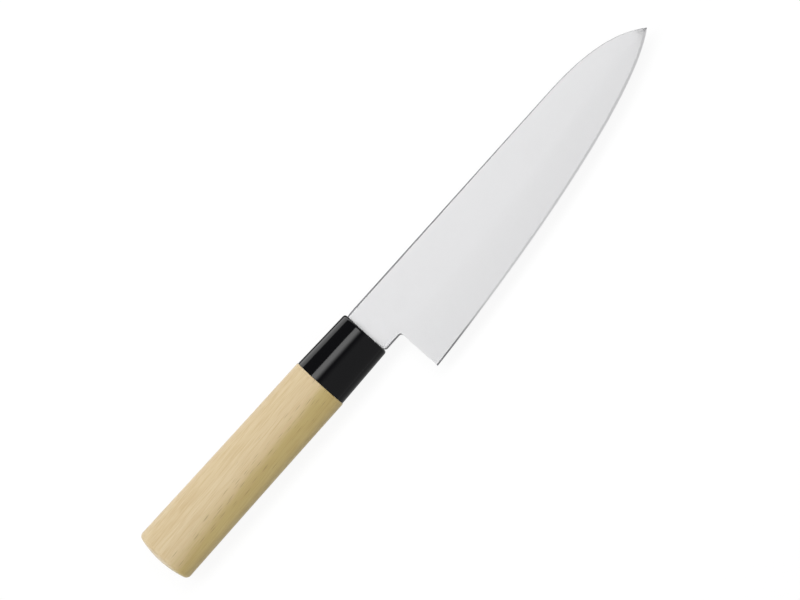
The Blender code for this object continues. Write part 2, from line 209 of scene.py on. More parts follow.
STEEL_THICKNESS = 1.9 * MM
TAPER_LENGTH = 90.0 * MM        # the steel thins towards the tip over this length
TIP_THICKNESS = 1.0 * MM
POINT_LENGTH = 5.0 * MM         # and runs out to nothing over this one
POINT_FULLNESS = 0.6
BLADE_REACH = 180.5 * MM
SPINE_RISE = 10.97 * MM
SPINE_EASE = ((0.0, 0.58 * MM), (0.15 * MM, 0.38 * MM), (0.85 * MM, 0.0))     # down, and in
EASED_DEPTH = 1.2 * MM          # the section's rows down to here move with the easing
EASE_AT_TIP = 0.15              # the easing narrows to this share at the tip
EASE_SPREAD = 3.0               # and is at most so many times what the section's height gives it
TIP_DROP = 2.0 * MM
NECK_LENGTH = 10.25 * MM
NECK_DROP = 11.65 * MM
NECK_DIP, NECK_DIP_LENGTH = 0.25 * MM, 4.0 * MM
NECK_EASE = ((0.8 * MM, 0.0), (0.57 * MM, 0.09 * MM), (0.33 * MM, 0.32 * MM),
             (0.0, 0.93 * MM))          # up, and in
HEEL_DROP = 32.8 * MM
HEEL_LEAN = 0.1 * MM
CHOIL_RADIUS = 1.4 * MM
SHOULDER_RADIUS = 1.3 * MM
SHOULDER_X = 0.05 * MM          # the shoulders all but touch the ferrule
TANG_LENGTH = 95.0 * MM
TANG_HALF_ROOT, TANG_HALF_END = 6.5 * MM, 3.5 * MM
TANG_POINT = 2.5 * MM
GRIND_CROWN = 1.25
BEVEL_AT_HEEL, BEVEL_AT_TIP = 0.7 * MM, 1.3 * MM
BEVEL_OF_HEIGHT, BEVEL_OF_STEEL = 0.3, 0.8              # at most, where the blade runs out
SHARPENING_SLOPE = math.tan(math.radians(15.0))
HEEL_SLOPE, HEEL_SLOPE_LENGTH = math.tan(math.radians(30.0)), 40.0 * MM     # blunter at the heel
CURVE_POINTS = 400
BLADE_COLUMNS = 110
COLUMN_CROWDING = 1.5           # 1 is even, more sets the columns closer towards the tip
GRIND_ROWS = 8
ARC_STEPS = 8
TOUCH = 0.002 * MM
NARROW_SIDE = 0.98              # a narrow side's normal leans further from Z than this


def stretch(*knots):
    """The points of one Bezier stretch from its end points and their handles."""
    start, start_handle, end_handle, end = (Vector((x, y, 0.0)) for x, y in knots)
    return interpolate_bezier(start, start_handle, end_handle, end, CURVE_POINTS)


def height_at(points, x):
    """The height of a stretch at x."""
    for before, after in zip(points, points[1:]):
        if before.x <= x <= after.x:
            return before.y + (after.y - before.y) * (x - before.x) / (after.x - before.x)
    return points[0].y if x < points[0].x else points[-1].y


DROP_ANGLE, HEEL_ANGLE, BELLY_ANGLE = (math.radians(angle) for angle in (41.0, 3.6, 34.2))
DROP_LENGTH, DROP_START_PULL, DROP_END_PULL = 51.1 * MM, 13.2 * MM, 19.2 * MM
HEEL_PULL, BELLY_PULL = 51.0 * MM, 31.6 * MM
heel_x = NECK_LENGTH + HEEL_LEAN
spine_drop = stretch(
    (BLADE_REACH - DROP_LENGTH, SPINE_RISE),
    (BLADE_REACH - DROP_LENGTH + DROP_START_PULL, SPINE_RISE),
    (BLADE_REACH - DROP_END_PULL * math.cos(DROP_ANGLE),
     -TIP_DROP + DROP_END_PULL * math.sin(DROP_ANGLE)),
    (BLADE_REACH, -TIP_DROP))
cutting_edge = stretch(
    (heel_x, -HEEL_DROP),
    (heel_x + HEEL_PULL * math.cos(HEEL_ANGLE), -HEEL_DROP + HEEL_PULL * math.sin(HEEL_ANGLE)),
    (BLADE_REACH - BELLY_PULL * math.cos(BELLY_ANGLE),
     -TIP_DROP - BELLY_PULL * math.sin(BELLY_ANGLE)),
    (BLADE_REACH, -TIP_DROP))


def spine_height(x):
    if x < NECK_DIP_LENGTH:
        return SPINE_RISE - NECK_DIP * (1.0 - x / NECK_DIP_LENGTH) ** 2
    return height_at(spine_drop, x)


def half_thickness(x):
    taper = max(0.0, (x - (BLADE_REACH - TAPER_LENGTH)) / TAPER_LENGTH)
    point = min(1.0, (BLADE_REACH - x) / POINT_LENGTH)
    thickness = STEEL_THICKNESS + (TIP_THICKNESS - STEEL_THICKNESS) * taper ** 2
    return thickness / 2 * point ** POINT_FULLNESS


def bevel_width(x):
    along = (x - NECK_LENGTH) / (BLADE_REACH - NECK_LENGTH)
    return min(BEVEL_AT_HEEL + (BEVEL_AT_TIP - BEVEL_AT_HEEL) * along,
               BEVEL_OF_HEIGHT * (spine_height(x) - height_at(cutting_edge, x)))


def bevel_top(x):
    """The height of the line where the grind ends and the sharpened bevel starts."""
    return height_at(cutting_edge, x) + bevel_width(x)


def bevel_side(x):
    """Half thickness of the steel on that line."""
    blunter = max(0.0, 1.0 - (x - NECK_LENGTH) / HEEL_SLOPE_LENGTH)
    return bevel_width(x) * (SHARPENING_SLOPE + (HEEL_SLOPE - SHARPENING_SLOPE) * blunter)


def pick(kind, wanted):
    """In edit mode, selects only the vertices, edges or faces that lie wholly where wanted."""
    bpy.ops.mesh.select_mode(type=kind)
    bpy.ops.mesh.select_all(action="DESELECT")
    shape = bmesh.from_edit_mesh(bpy.context.object.data)
    for item in {"VERT": shape.verts, "EDGE": shape.edges, "FACE": shape.faces}[kind]:
        if all(wanted(corner.co) for corner in ([item] if kind == "VERT" else item.verts)):
            item.select_set(True)
    bmesh.update_edit_mesh(bpy.context.object.data)


def draw_out(*move):
    """Extrudes what is selected by one move."""
    bpy.ops.mesh.extrude_region_move(TRANSFORM_OT_translate={"value": move})


def shift(wanted, *move):
    """Moves only the vertices that lie where wanted."""
    pick("VERT", wanted)
    bpy.ops.transform.translate(value=move)


def apply_modifier(kind, **settings):
    """Adds a modifier to the piece in hand, sets it and applies it."""
    modifier = bpy.context.object.modifiers.new(kind.lower(), kind)
    for name, value in settings.items():
        setattr(modifier, name, value)
    bpy.ops.object.modifier_apply(modifier=modifier.name)


def close_skin():
    """Merges doubles, turns every face of the closed skin outwards and leaves edit mode."""
    bpy.ops.mesh.select_mode(type="VERT")
    bpy.ops.mesh.select_all(action="SELECT")
    bpy.ops.mesh.remove_doubles(threshold=TOUCH)
    bpy.ops.mesh.normals_make_consistent(inside=False)
    bpy.ops.object.mode_set(mode="OBJECT")


def set_in_place(name, node):
    """Names the piece, moves it to its place in its mesh, and hangs it on the frame."""
    piece = bpy.context.object
    piece.name = piece.data.name = name
    bpy.ops.transform.translate(value=DATUM)
    bpy.ops.object.transform_apply(location=True, rotation=True, scale=True)
    bpy.ops.object.shade_smooth_by_angle(angle=math.radians(30.0))
    apply_modifier("WEIGHTED_NORMAL", keep_sharp=True)
    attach(piece, "root")
    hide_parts(node)
    return piece


# The right side starts as its section at the heel, drawn point by point: the eased spine,
# the flat with a row at each height where tang and neck will leave it, and the crowned grind
# as far down as the bevel.
half_steel = STEEL_THICKNESS / 2
choil_foot = -(NECK_DROP + CHOIL_RADIUS)
section = []
for down, inwards in SPINE_EASE:
    section.append((NECK_LENGTH, SPINE_RISE - down, half_steel - inwards))
for y in (SPINE_RISE - EASED_DEPTH, TANG_HALF_ROOT, -TANG_HALF_ROOT,
          *(choil_foot + up for up, inwards in NECK_EASE[:-1])):
    section.append((NECK_LENGTH, y, half_steel))
for step in range(GRIND_ROWS + 1):
    share = step / GRIND_ROWS
    section.append((NECK_LENGTH + HEEL_LEAN * share,
                    choil_foot + (bevel_top(heel_x) - choil_foot) * share,
                    half_steel * (1.0 - share ** GRIND_CROWN) + TOUCH * share))

bpy.ops.mesh.primitive_plane_add(size=MM, location=section[0])
bpy.ops.object.transform_apply(location=True)
bpy.ops.object.mode_set(mode="EDIT")
bpy.ops.mesh.select_all(action="SELECT")
bpy.ops.mesh.merge(type="CENTER")
for before, after in zip(section, section[1:]):
    draw_out(*(Vector(after) - Vector(before)))

# It is drawn out to the tip, and sized at each column to the height and thickness there.
bpy.ops.mesh.select_all(action="SELECT")
columns = [heel_x]
x, top, tall = NECK_LENGTH, SPINE_RISE, SPINE_RISE - bevel_top(heel_x)
for column in range(1, BLADE_COLUMNS):
    left = (1.0 - column / BLADE_COLUMNS) ** COLUMN_CROWDING
    next_x = BLADE_REACH - (BLADE_REACH - NECK_LENGTH) * left
    next_top = spine_height(next_x)
    next_tall = next_top - bevel_top(next_x)
    draw_out(next_x - x, next_top - top, 0.0)
    bpy.ops.transform.resize(value=(0.0, next_tall / tall, half_thickness(next_x) / half_thickness(x)),
                             center_override=(next_x, next_top, 0.0))
    columns.append(next_x)
    x, top, tall = next_x, next_top, next_tall
draw_out(BLADE_REACH - x, 0.0, 0.0)
bpy.ops.transform.resize(value=(0.0, 0.0, 0.0), center_override=(BLADE_REACH, -TIP_DROP, 0.0))
bpy.ops.mesh.remove_doubles(threshold=TOUCH)

# The spine is eased less towards the tip, as far as the section has room for it. The grind
# is thickened until its foot meets the bevel, which runs on to the edge on the mid plane.
tall_at_heel = SPINE_RISE - bevel_top(heel_x)
for x in columns:
    side, top = half_thickness(x), spine_height(x)
    scale = (top - bevel_top(x)) / tall_at_heel
    ease = min(1.0 + (EASE_AT_TIP - 1.0) * x / BLADE_REACH, EASE_SPREAD * scale, side / half_steel)
    pick("VERT", lambda co: (abs(co.x - x) < HEEL_LEAN + TOUCH
                             and co.y > top - 1.1 * EASED_DEPTH * scale))
    bpy.ops.transform.resize(value=(1.0, ease / scale, ease * half_steel / side),
                             center_override=(x, top, side))
    pick("VERT", lambda co: (abs(co.x - x) < HEEL_LEAN + TOUCH
                             and co.y < top - (SPINE_RISE - choil_foot) * scale + TOUCH))
    bpy.ops.transform.resize(value=(1.0, 1.0, 1.0 - min(bevel_side(x) / side, BEVEL_OF_STEEL)),
                             center_override=(x, 0.0, side))
pick("EDGE", lambda co: abs(co.y - bevel_top(co.x)) < TOUCH and co.x > NECK_LENGTH + TOUCH)
draw_out(0.0, 0.0, 0.0)
bpy.ops.transform.resize(value=(1.0, 1.0, 0.0), center_override=(0.0, 0.0, 0.0))
for x in columns:
    shift(lambda co: abs(co.x - x) < TOUCH and abs(co.z) < TOUCH,
          0.0, height_at(cutting_edge, x) - bevel_top(x), 0.0)

# The neck is drawn back from the upper part of the heel. Its foot follows the round of the
# choil, its own straight underside and the round of the shoulder, and is eased between them.
neck_steps = []
for step in range(ARC_STEPS - 1, -1, -1):
    turn = math.pi / 2 * step / ARC_STEPS
    neck_steps.append((NECK_LENGTH - CHOIL_RADIUS * (1.0 - math.sin(turn)),
                       -NECK_DROP - CHOIL_RADIUS * (1.0 - math.cos(turn)), math.cos(turn)))
neck_steps += [(NECK_DIP_LENGTH, -NECK_DROP, 1.0), (NECK_DIP_LENGTH / 2, -NECK_DROP, 1.0)]
for step in range(ARC_STEPS, -1, -1):
    turn = math.pi / 2 * step / ARC_STEPS
    neck_steps.append((SHOULDER_X + SHOULDER_RADIUS * (1.0 - math.cos(turn)),
                       -NECK_DROP + SHOULDER_RADIUS * (1.0 - math.sin(turn)), math.sin(turn)))
x, foot, eased = NECK_LENGTH, choil_foot, 0.0
for next_x, next_foot, next_eased in neck_steps:
    pick("EDGE", lambda co: abs(co.x - x) < TOUCH and co.y > choil_foot - TOUCH)
    draw_out(next_x - x, 0.0, 0.0)
    shift(lambda co: abs(co.x - next_x) < TOUCH and co.y < -TANG_HALF_ROOT - TOUCH,
          0.0, next_foot - foot, 0.0)
    for up, inwards in NECK_EASE:
        shift(lambda co: abs(co.x - next_x) < TOUCH and abs(co.y - next_foot - up) < TOUCH,
              0.0, 0.0, inwards * (eased - next_eased))
    shift(lambda co: abs(co.x - next_x) < TOUCH and co.y > TANG_HALF_ROOT + TOUCH,
          0.0, spine_height(next_x) - spine_height(x), 0.0)
    x, foot, eased = next_x, next_foot, next_eased

# The tang is drawn back from the middle of the shoulders.
pick("EDGE", lambda co: abs(co.x - SHOULDER_X) < TOUCH and abs(co.y) < TANG_HALF_ROOT + TOUCH)
draw_out(TANG_POINT - TANG_LENGTH - SHOULDER_X, 0.0, 0.0)
bpy.ops.transform.resize(value=(1.0, TANG_HALF_END / TANG_HALF_ROOT, 1.0),
                         center_override=(0.0, 0.0, 0.0))
draw_out(-TANG_POINT, 0.0, 0.0)
bpy.ops.transform.resize(value=(1.0, 1.0 - TANG_POINT / TANG_HALF_END, 1.0),
                         center_override=(0.0, 0.0, 0.0))

# The rim is walled to the mid plane, and the left side is the mirror of the right.
bpy.ops.mesh.select_all(action="DESELECT")
bpy.ops.mesh.select_non_manifold(use_wire=False, use_multi_face=False,
                                 use_non_contiguous=False, use_verts=False)
draw_out(0.0, 0.0, 0.0)
bpy.ops.transform.resize(value=(1.0, 1.0, 0.0), center_override=(0.0, 0.0, 0.0))
bpy.ops.mesh.select_all(action="SELECT")
bpy.ops.mesh.remove_doubles(threshold=TOUCH)
bpy.ops.object.mode_set(mode="OBJECT")
apply_modifier("MIRROR", use_axis=(False, False, True), merge_threshold=TOUCH)
bpy.ops.object.mode_set(mode="EDIT")
close_skin()

# Satin stainless steel: an even pale grey with a soft sheen, and faint hairlines that the
# finishing belt leaves along the blade. Real ones are 0.03 mm apart, and here 0.3 mm.
satin_steel = bpy.data.materials.new("satin_stainless_steel")
satin_steel.use_nodes = True
tree = satin_steel.node_tree
shader = tree.nodes["Principled BSDF"]
shader.inputs["Base Color"].default_value = linear("#EEEEEF")
shader.inputs["Metallic"].default_value = 1.0
place = add_node(tree, "ShaderNodeTexCoord")
belt = add_node(tree, "ShaderNodeMapping", None,
                {"Vector": place.outputs["Object"],
                 "Scale": (1 / (40.0 * MM), 1 / (0.3 * MM), 1 / (0.3 * MM))})
hairlines = add_node(tree, "ShaderNodeTexNoise", None,
                     {"Vector": belt.outputs[0], "Scale": 1.0, "Detail": 3.0})
sheen = add_node(tree, "ShaderNodeMapRange", None,
                 {"Value": hairlines.outputs["Fac"], "To Min": 0.44, "To Max": 0.50})
shader.inputs["Anisotropic"].default_value = 0.93
across = add_node(tree, "ShaderNodeTangent", {"direction_type": "RADIAL", "axis": "X"})
tree.links.new(across.outputs["Tangent"], shader.inputs["Tangent"])
relief = add_node(tree, "ShaderNodeBump", None,
                  {"Height": hairlines.outputs["Fac"], "Strength": 0.1, "Distance": 0.02 * MM})
tree.links.new(sheen.outputs["Result"], shader.inputs["Roughness"])
tree.links.new(relief.outputs["Normal"], shader.inputs["Normal"])

# The narrow sides of the blank, which a coarse belt has ground across: a duller grey, and darker as painted
# shade.
ground_steel_painted_shade = bpy.data.materials.new("belt_ground_steel_painted_shade")
ground_steel_painted_shade.use_nodes = True
tree = ground_steel_painted_shade.node_tree
shader = tree.nodes["Principled BSDF"]
# This grey is darker than the steel's own: painted shade for the thin dark outline along the spine and the
# neck.
shader.inputs["Base Color"].default_value = linear("#A8A8AA")
shader.inputs["Metallic"].default_value = 1.0
place = add_node(tree, "ShaderNodeTexCoord")
belt = add_node(tree, "ShaderNodeMapping", None,
                {"Vector": place.outputs["Object"],
                 "Scale": (1 / (0.25 * MM), 1 / (3.0 * MM), 1 / (3.0 * MM))})
marks = add_node(tree, "ShaderNodeTexNoise", None,
                 {"Vector": belt.outputs[0], "Scale": 1.0, "Detail": 2.0})
sheen = add_node(tree, "ShaderNodeMapRange", None,
                 {"Value": marks.outputs["Fac"], "To Min": 0.34, "To Max": 0.46})
tree.links.new(sheen.outputs["Result"], shader.inputs["Roughness"])

# The same steel where the stones have cut the bevel, scratched across the edge. Towards the
# heel, over the last 40 mm, the coarse stone's darker cut is left.
honed_steel = bpy.data.materials.new("honed_stainless_steel")
honed_steel.use_nodes = True
tree = honed_steel.node_tree
shader = tree.nodes["Principled BSDF"]
shader.inputs["Metallic"].default_value = 1.0
place = add_node(tree, "ShaderNodeTexCoord")
stone = add_node(tree, "ShaderNodeMapping", None,
                 {"Vector": place.outputs["Object"], "Rotation": (0.0, 0.0, math.radians(20.0)),
                  "Scale": (1 / (0.2 * MM), 1 / (3.0 * MM), 1 / (3.0 * MM))})
scratches = add_node(tree, "ShaderNodeTexNoise", None,
                     {"Vector": stone.outputs[0], "Scale": 1.0, "Detail": 2.0})
spot = add_node(tree, "ShaderNodeSeparateXYZ", None, {0: place.outputs["Object"]})
fine_cut = add_node(tree, "ShaderNodeMapRange", {"interpolation_type": "SMOOTHSTEP"},
                    {"Value": spot.outputs["X"],
                     "From Min": DATUM.x + 18.0 * MM, "From Max": DATUM.x + 48.0 * MM})
colour = add_node(tree, "ShaderNodeMix", {"data_type": "RGBA"},
                  {"Factor": fine_cut.outputs["Result"], "A": linear("#A3A3A5"), "B": linear("#F4F4F5")})
sheen = add_node(tree, "ShaderNodeMapRange", None,
                 {"Value": scratches.outputs["Fac"], "To Min": 0.58, "To Max": 0.70})
tree.links.new(colour.outputs["Result"], shader.inputs["Base Color"])
tree.links.new(sheen.outputs["Result"], shader.inputs["Roughness"])

for steel in (satin_steel, ground_steel_painted_shade, honed_steel):
    bpy.context.object.data.materials.append(steel)
bpy.ops.object.mode_set(mode="EDIT")
bpy.ops.mesh.select_all(action="DESELECT")
shape = bmesh.from_edit_mesh(bpy.context.object.data)
# The narrow sides, the eased spine and neck among them, take the steel that is darkened as painted shade.
for face in shape.faces:
    face.select_set(abs(face.normal.z) < NARROW_SIDE)
bmesh.update_edit_mesh(bpy.context.object.data)
bpy.context.object.active_material_index = 1
bpy.ops.object.material_slot_assign()
pick("FACE", lambda co: co.x > heel_x - TOUCH and co.y < bevel_top(co.x) + TOUCH)
bpy.context.object.active_material_index = 2
bpy.ops.object.material_slot_assign()
bpy.ops.mesh.region_to_loop()
bpy.ops.mesh.mark_sharp()
bpy.ops.object.mode_set(mode="OBJECT")
set_in_place("knife_blade", "blade")


# Ferrule
# A cap moulded from black resin, glossy as it leaves the mould. It is pressed and glued over
# the grip's tenon, and the tang passes through the slot in its front wall.

FERRULE_LENGTH = 29.5 * MM
FERRULE_FRONT = Vector((0.0, 24.4, 18.4)) * MM / 2      # half height and half thickness
FERRULE_REAR = Vector((0.0, 26.0, 19.7)) * MM / 2
FERRULE_WALL = 2.2 * MM
FERRULE_FRONT_WALL = 3.0 * MM
FERRULE_FRONT_ROUND = 1.2 * MM
FERRULE_REAR_EASE = 0.3 * MM
SLOT_CLEARANCE = Vector((0.0, 0.6, 0.3)) * MM
SLOT_CORNER = 0.4 * MM
OVAL_POINTS = 128
EASE_STEPS = 3


def draw_oval(stations):
    """Draws a filled oval along the knife; a station is its x and the oval's half sizes there."""
    for (old_x, old_half), (x, half) in zip(stations, stations[1:]):
        draw_out(x - old_x, 0.0, 0.0)
        bpy.ops.transform.resize(value=(1.0, half.y / old_half.y, half.z / old_half.z),
                                 center_override=(x, 0.0, 0.0))


def start_oval(stations):
    """Adds a filled oval at the first station and draws it through all of them."""
    bpy.ops.mesh.primitive_circle_add(vertices=OVAL_POINTS, radius=1.0, fill_type="NGON",
                                      location=(stations[0][0], 0.0, 0.0), rotation=(0.0, math.pi / 2, 0.0))
    bpy.ops.object.transform_apply(location=True, rotation=True, scale=True)
    bpy.ops.object.mode_set(mode="EDIT")
    bpy.ops.mesh.select_mode(type="FACE")
    bpy.ops.mesh.select_all(action="SELECT")
    bpy.ops.transform.resize(value=(1.0, stations[0][1].y, stations[0][1].z),
                             center_override=(stations[0][0], 0.0, 0.0))
    draw_oval(stations)


def less(half, inset):
    """Half sizes drawn in by an inset all round."""
    return Vector((0.0, half.y - inset, half.z - inset))


def cut_slot(front_x, rear_x, front_half, rear_half):
    """Cuts the tapered slot of the tang out of the piece in hand."""
    piece = bpy.context.object
    bpy.ops.mesh.primitive_cube_add(size=2.0 * MM, location=(rear_x + MM, 0.0, 0.0))
    cutter = bpy.context.object
    bpy.ops.object.transform_apply(location=True)
    bpy.ops.object.mode_set(mode="EDIT")
    for x, half in ((rear_x, rear_half), (rear_x + 2.0 * MM, front_half)):
        pick("FACE", lambda co: abs(co.x - x) < TOUCH)
        bpy.ops.transform.resize(value=(1.0, half.y / MM, half.z / MM), center_override=(0.0, 0.0, 0.0))
    bpy.ops.transform.translate(value=(front_x - rear_x - 2.0 * MM, 0.0, 0.0))
    bpy.ops.mesh.select_mode(type="EDGE")
    bpy.ops.mesh.select_all(action="DESELECT")
    shape = bmesh.from_edit_mesh(cutter.data)
    for edge in shape.edges:
        edge.select_set(abs(edge.verts[0].co.x - edge.verts[1].co.x) > TOUCH)
    bmesh.update_edit_mesh(cutter.data)
    bpy.ops.mesh.bevel(offset=SLOT_CORNER, segments=3, affect="EDGES")
    bpy.ops.object.mode_set(mode="OBJECT")
    bpy.ops.object.select_all(action="DESELECT")
    bpy.context.view_layer.objects.active = piece
    piece.select_set(True)
    apply_modifier("BOOLEAN", object=cutter, operation="DIFFERENCE", solver="EXACT")
    bpy.data.objects.remove(cutter, do_unlink=True)


def ferrule_half(x):
    return FERRULE_FRONT.lerp(FERRULE_REAR, -x / FERRULE_LENGTH)


def slot_half(x, clearance):
    """Half height and half thickness of a slot round the tang at x."""
    half_tang = TANG_HALF_ROOT + (TANG_HALF_END - TANG_HALF_ROOT) * -x / TANG_LENGTH
    return Vector((0.0, half_tang, half_steel)) + clearance


# The outside, from the eased rear rim to the rounded front.
stations = []
for step in range(EASE_STEPS + 1):
    turn = math.pi / 2 * step / EASE_STEPS
    x = -FERRULE_LENGTH + FERRULE_REAR_EASE * (1.0 - math.cos(turn))
    stations.append((x, less(ferrule_half(x), FERRULE_REAR_EASE * (1.0 - math.sin(turn)))))
for step in range(ARC_STEPS + 1):
    turn = math.pi / 2 * step / ARC_STEPS
    x = -FERRULE_FRONT_ROUND * (1.0 - math.sin(turn))
    stations.append((x, less(ferrule_half(x), FERRULE_FRONT_ROUND * (1.0 - math.cos(turn)))))
start_oval(stations)

# The bore for the tenon, sunk from the rear with an even wall, and the slot in its floor.
pick("FACE", lambda co: abs(co.x + FERRULE_LENGTH) < TOUCH)
bpy.ops.mesh.inset(thickness=FERRULE_WALL - FERRULE_REAR_EASE)
draw_oval([(x, less(ferrule_half(x), FERRULE_WALL)) for x in (-FERRULE_LENGTH, -FERRULE_FRONT_WALL)])
close_skin()
cut_slot(MM, -FERRULE_FRONT_WALL - MM, *[slot_half(0.0, SLOT_CLEARANCE)] * 2)
ferrule = set_in_place("knife_ferrule", "ferrule")

# Black moulded phenolic resin: a deep black with a sharp gloss, slightly dulled by fine wiping
# marks round the cap, and the faint waviness of a moulded skin, whose swells are 6 mm apart.
black_resin = bpy.data.materials.new("moulded_black_resin")
black_resin.use_nodes = True
tree = black_resin.node_tree
shader = tree.nodes["Principled BSDF"]
shader.inputs["Base Color"].default_value = linear("#060608")
shader.inputs["IOR"].default_value = 1.35
place = add_node(tree, "ShaderNodeTexCoord")
swell = add_node(tree, "ShaderNodeTexNoise", None,
                 {"Vector": place.outputs["Object"], "Scale": 1 / (6.0 * MM), "Detail": 1.0})
relief = add_node(tree, "ShaderNodeBump", None,
                  {"Height": swell.outputs["Fac"], "Strength": 0.3, "Distance": 0.05 * MM})
wiped = add_node(tree, "ShaderNodeMapping", None,
                 {"Vector": place.outputs["Object"],
                  "Scale": (1 / (0.5 * MM), 1 / (5.0 * MM), 1 / (5.0 * MM))})
wipes = add_node(tree, "ShaderNodeTexNoise", None,
                 {"Vector": wiped.outputs[0], "Scale": 1.0, "Detail": 4.0})
gloss = add_node(tree, "ShaderNodeMapRange", None,
                 {"Value": wipes.outputs["Fac"], "To Min": 0.05, "To Max": 0.11})
tree.links.new(gloss.outputs["Result"], shader.inputs["Roughness"])
tree.links.new(relief.outputs["Normal"], shader.inputs["Normal"])
ferrule.data.materials.append(black_resin)


# Grip
# One piece of magnolia, turned to a tapering oval, crowned at the butt and finely sanded. Its
# stepped tenon fills the ferrule, and the tang is bedded in the slot down its middle.

HANDLE_LENGTH = 133.4 * MM
GRIP_MOUTH = Vector((0.0, 26.6, 20.4)) * MM / 2
GRIP_BUTT = Vector((0.0, 28.2, 22.0)) * MM / 2
GRIP_FLARE = 1.5                # 1 is a straight taper, more opens faster towards the butt
FLARE_STEPS = 10
GRIP_MOUTH_EASE = 0.35 * MM
GRIP_MOUTH_GAP = 0.03 * MM      # the ferrule's rim is pressed up against the wood
BUTT_CROWN_RADIUS = 45.0 * MM
BUTT_ROUND = 2.4 * MM
CROWN_SHARES = (0.03, 0.15, 0.3, 0.45, 0.6, 0.75, 0.9)
TENON_GAP = 0.3 * MM
TENON_EASE = 0.5 * MM
BEDDING = Vector((0.0, 0.9, 0.9)) * MM
SLOT_PAST_TANG = 1.5 * MM

mouth_x = -FERRULE_LENGTH - GRIP_MOUTH_GAP
tenon_front_x = -FERRULE_FRONT_WALL - TENON_GAP


def grip_half(x):
    return GRIP_MOUTH.lerp(GRIP_BUTT, max(0.0, (x - mouth_x) / (-HANDLE_LENGTH - mouth_x)) ** GRIP_FLARE)


# The crown, out from a small face at the butt's middle, and the round beside it.
lean = math.asin((GRIP_BUTT.y - BUTT_ROUND) / (BUTT_CROWN_RADIUS - BUTT_ROUND))
crown_rim = BUTT_CROWN_RADIUS * math.sin(lean)
stations = []
for share in CROWN_SHARES:
    sag = BUTT_CROWN_RADIUS - math.sqrt(BUTT_CROWN_RADIUS ** 2 - (share * crown_rim) ** 2)
    stations.append((-HANDLE_LENGTH + sag, less(GRIP_BUTT, GRIP_BUTT.y - crown_rim) * share))
for step in range(ARC_STEPS + 1):
    turn = lean + (math.pi / 2 - lean) * step / ARC_STEPS
    x = (-HANDLE_LENGTH + BUTT_CROWN_RADIUS * (1.0 - math.cos(lean))
         + BUTT_ROUND * (math.cos(lean) - math.cos(turn)))
    stations.append((x, less(grip_half(x), BUTT_ROUND * (1.0 - math.sin(turn)))))

# The long flared taper, the eased mouth, and the tenon that goes into the ferrule.
for step in range(FLARE_STEPS - 1, 0, -1):
    x = mouth_x + (-HANDLE_LENGTH - mouth_x) * step / FLARE_STEPS
    stations.append((x, grip_half(x)))
for step in range(EASE_STEPS + 1):
    turn = math.pi / 2 * step / EASE_STEPS
    x = mouth_x - GRIP_MOUTH_EASE * (1.0 - math.sin(turn))
    stations.append((x, less(grip_half(x), GRIP_MOUTH_EASE * (1.0 - math.cos(turn)))))
tenon_inset = FERRULE_WALL + TENON_GAP
stations += [(mouth_x, less(FERRULE_REAR, tenon_inset)),
             (tenon_front_x - TENON_EASE, less(ferrule_half(tenon_front_x - TENON_EASE), tenon_inset)),
             (tenon_front_x, less(ferrule_half(tenon_front_x), tenon_inset + TENON_EASE))]
start_oval(stations)
close_skin()
slot_end = -TANG_LENGTH - SLOT_PAST_TANG
cut_slot(tenon_front_x + MM, slot_end, slot_half(tenon_front_x, SLOT_CLEARANCE + BEDDING),
         slot_half(slot_end, SLOT_CLEARANCE + BEDDING))
grip = set_in_place("knife_grip", "grip")

# Bare magnolia, sanded fine: cream sapwood above and greener heartwood below, which meet in
# a feathered line. Its growth rings, some 3 mm wide, show as soft streaks, its fibres as finer
# ones, and their raised ends give the flanks a soft sheen. Pores are drawn up to 0.4 mm wide
# and 5 mm long, because the real 0.1 mm is too fine to show.
magnolia = bpy.data.materials.new("sanded_magnolia_wood")
magnolia.use_nodes = True
tree = magnolia.node_tree
shader = tree.nodes["Principled BSDF"]
shader.inputs["Sheen Weight"].default_value = 0.6
shader.inputs["Sheen Roughness"].default_value = 0.3
GRAIN_TILT = Euler((0.0, 0.0, math.radians(-3.4)))
PITH = Vector((0.0, 45.0, 22.0)) * MM           # from the tree's pith to the handle's axis
SAPWOOD, HEARTWOOD = linear("#D3C09B"), linear("#BAA76F")
DARK_STREAK, DARK_PORE = linear("#DFCDAA"), linear("#6E5A3C")

place = add_node(tree, "ShaderNodeTexCoord")
grain = add_node(tree, "ShaderNodeMapping", None,
                 {"Vector": place.outputs["Object"], "Rotation": GRAIN_TILT,
                  "Location": PITH - GRAIN_TILT.to_matrix() @ DATUM})
slow = add_node(tree, "ShaderNodeMapping", None,
                {"Vector": grain.outputs[0], "Scale": (1 / (90.0 * MM), 1 / (12.0 * MM), 1 / (12.0 * MM))})
wander = add_node(tree, "ShaderNodeTexNoise", None,
                  {"Vector": slow.outputs[0], "Scale": 1.0, "Detail": 3.0})
along = add_node(tree, "ShaderNodeMapping", None,
                 {"Vector": grain.outputs[0], "Scale": (1 / (14.0 * MM), 1 / (0.45 * MM), 1 / (0.45 * MM))})
fibres = add_node(tree, "ShaderNodeTexNoise", None,
                  {"Vector": along.outputs[0], "Scale": 1.0, "Detail": 3.0})
wide = add_node(tree, "ShaderNodeMapping", None,
                {"Vector": grain.outputs[0], "Scale": (1 / (60.0 * MM), 1 / (3.0 * MM), 1 / (3.0 * MM))})
rings = add_node(tree, "ShaderNodeTexNoise", None,
                 {"Vector": wide.outputs[0], "Scale": 1.0, "Detail": 3.0})

